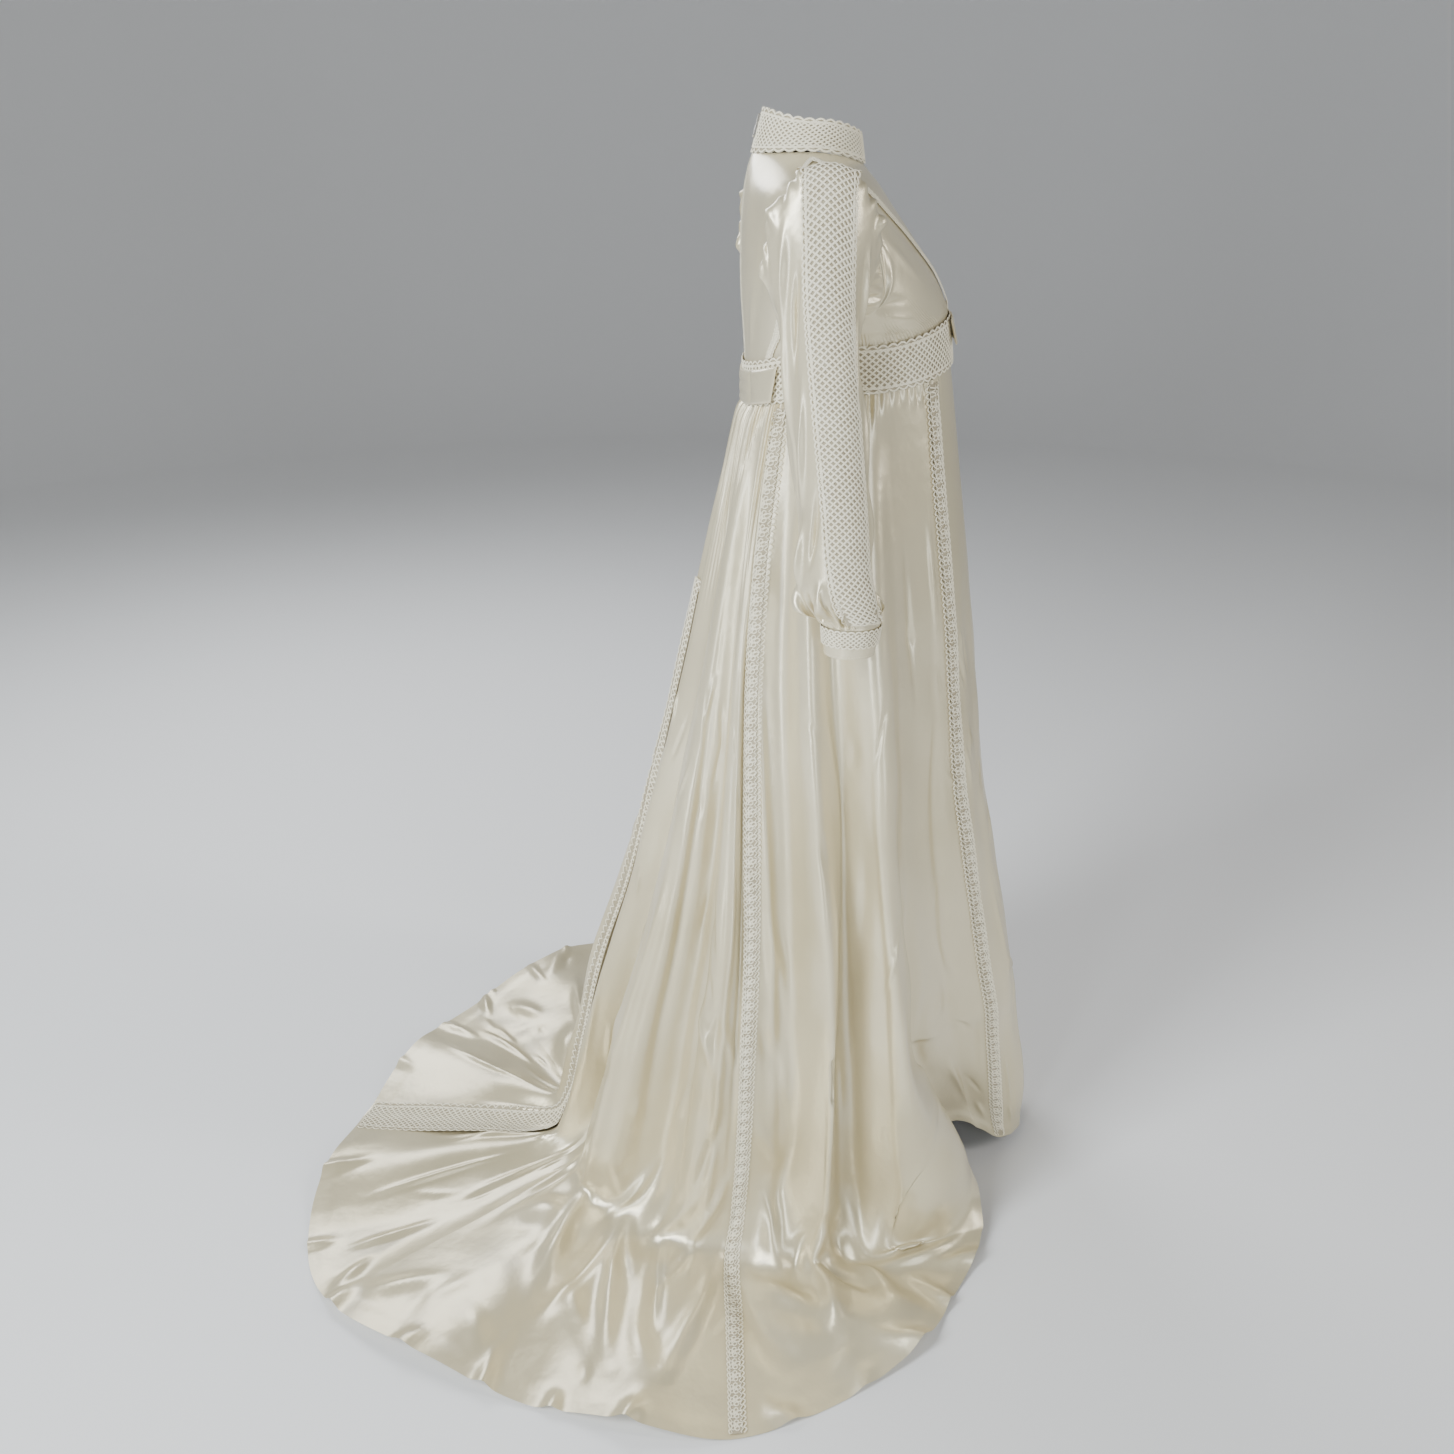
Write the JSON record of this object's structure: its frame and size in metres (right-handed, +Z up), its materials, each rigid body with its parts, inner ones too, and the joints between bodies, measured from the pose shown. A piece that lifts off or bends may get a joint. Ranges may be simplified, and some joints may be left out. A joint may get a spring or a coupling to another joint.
{
  "type": "wedding dress",
  "caption": "Long-sleeved empire-line wedding dress in ivory satin with net lace collar, belt and sleeve bands, flat bows, flower trims and a round train, worn and hollow.",
  "frame": {"origin": "middle of the base of the neck, where the wearer's neck and shoulders carry the dress", "axes": "+Z up along the wearer, the front of the dress faces -Y, the wearer's left is +X and the train runs towards +Y"},
  "size_m": [1.0719, 1.0572, 1.428],
  "materials": {
    "satin": "ivory duchess satin, soft high sheen",
    "lace": "matt cream cotton net and crochet lace",
    "tape": "woven cream zip tape",
    "metal": "plain pale metal"
  },
  "bodies": {
    "dress": {"belt_lace": "lace", "bodice_back_left": "satin", "bodice_back_right": "satin", "bodice_front_inset": "satin", "bodice_side_back_left": "satin", "bodice_side_back_right": "satin", "bodice_side_front_left": "satin", "bodice_side_front_right": "satin", "bow_back_knot": "satin", "bow_back_left": "satin", "bow_back_right": "satin", "bow_front_knot": "satin", "bow_front_left": "satin", "bow_front_right": "satin", "braid_back_left": "lace", "braid_back_right": "lace", "braid_front_left": "lace", "braid_front_right": "lace", "collar_lace": "lace", "cuff_lace_left": "lace", "cuff_lace_right": "lace", "cuff_left": "satin", "cuff_right": "satin", "midriff": "satin", "skirt_back_left": "satin", "skirt_back_right": "satin", "skirt_front": "satin", "skirt_side_back_left": "satin", "skirt_side_back_right": "satin", "skirt_side_left": "satin", "skirt_side_right": "satin", "sleeve_band_left": "lace", "sleeve_band_right": "lace", "sleeve_left": "satin", "sleeve_right": "satin", "train_band_lace": "lace", "trim_front_left": "lace", "trim_front_right": "lace", "trim_side_back_left": "lace", "trim_side_back_right": "lace", "zip_slider": "metal", "zip_tape": "tape"},
    "pull_tab": {"zip_pull": "metal"}
  },
  "joints": [
    {"name": "pull_tab_hinge", "type": "hinge", "parent": "dress", "child": "pull_tab", "pos_m": [0, 0.05538, 0.04223], "axis": [1, 0, 0], "range_deg": [0, 150]}
  ]
}
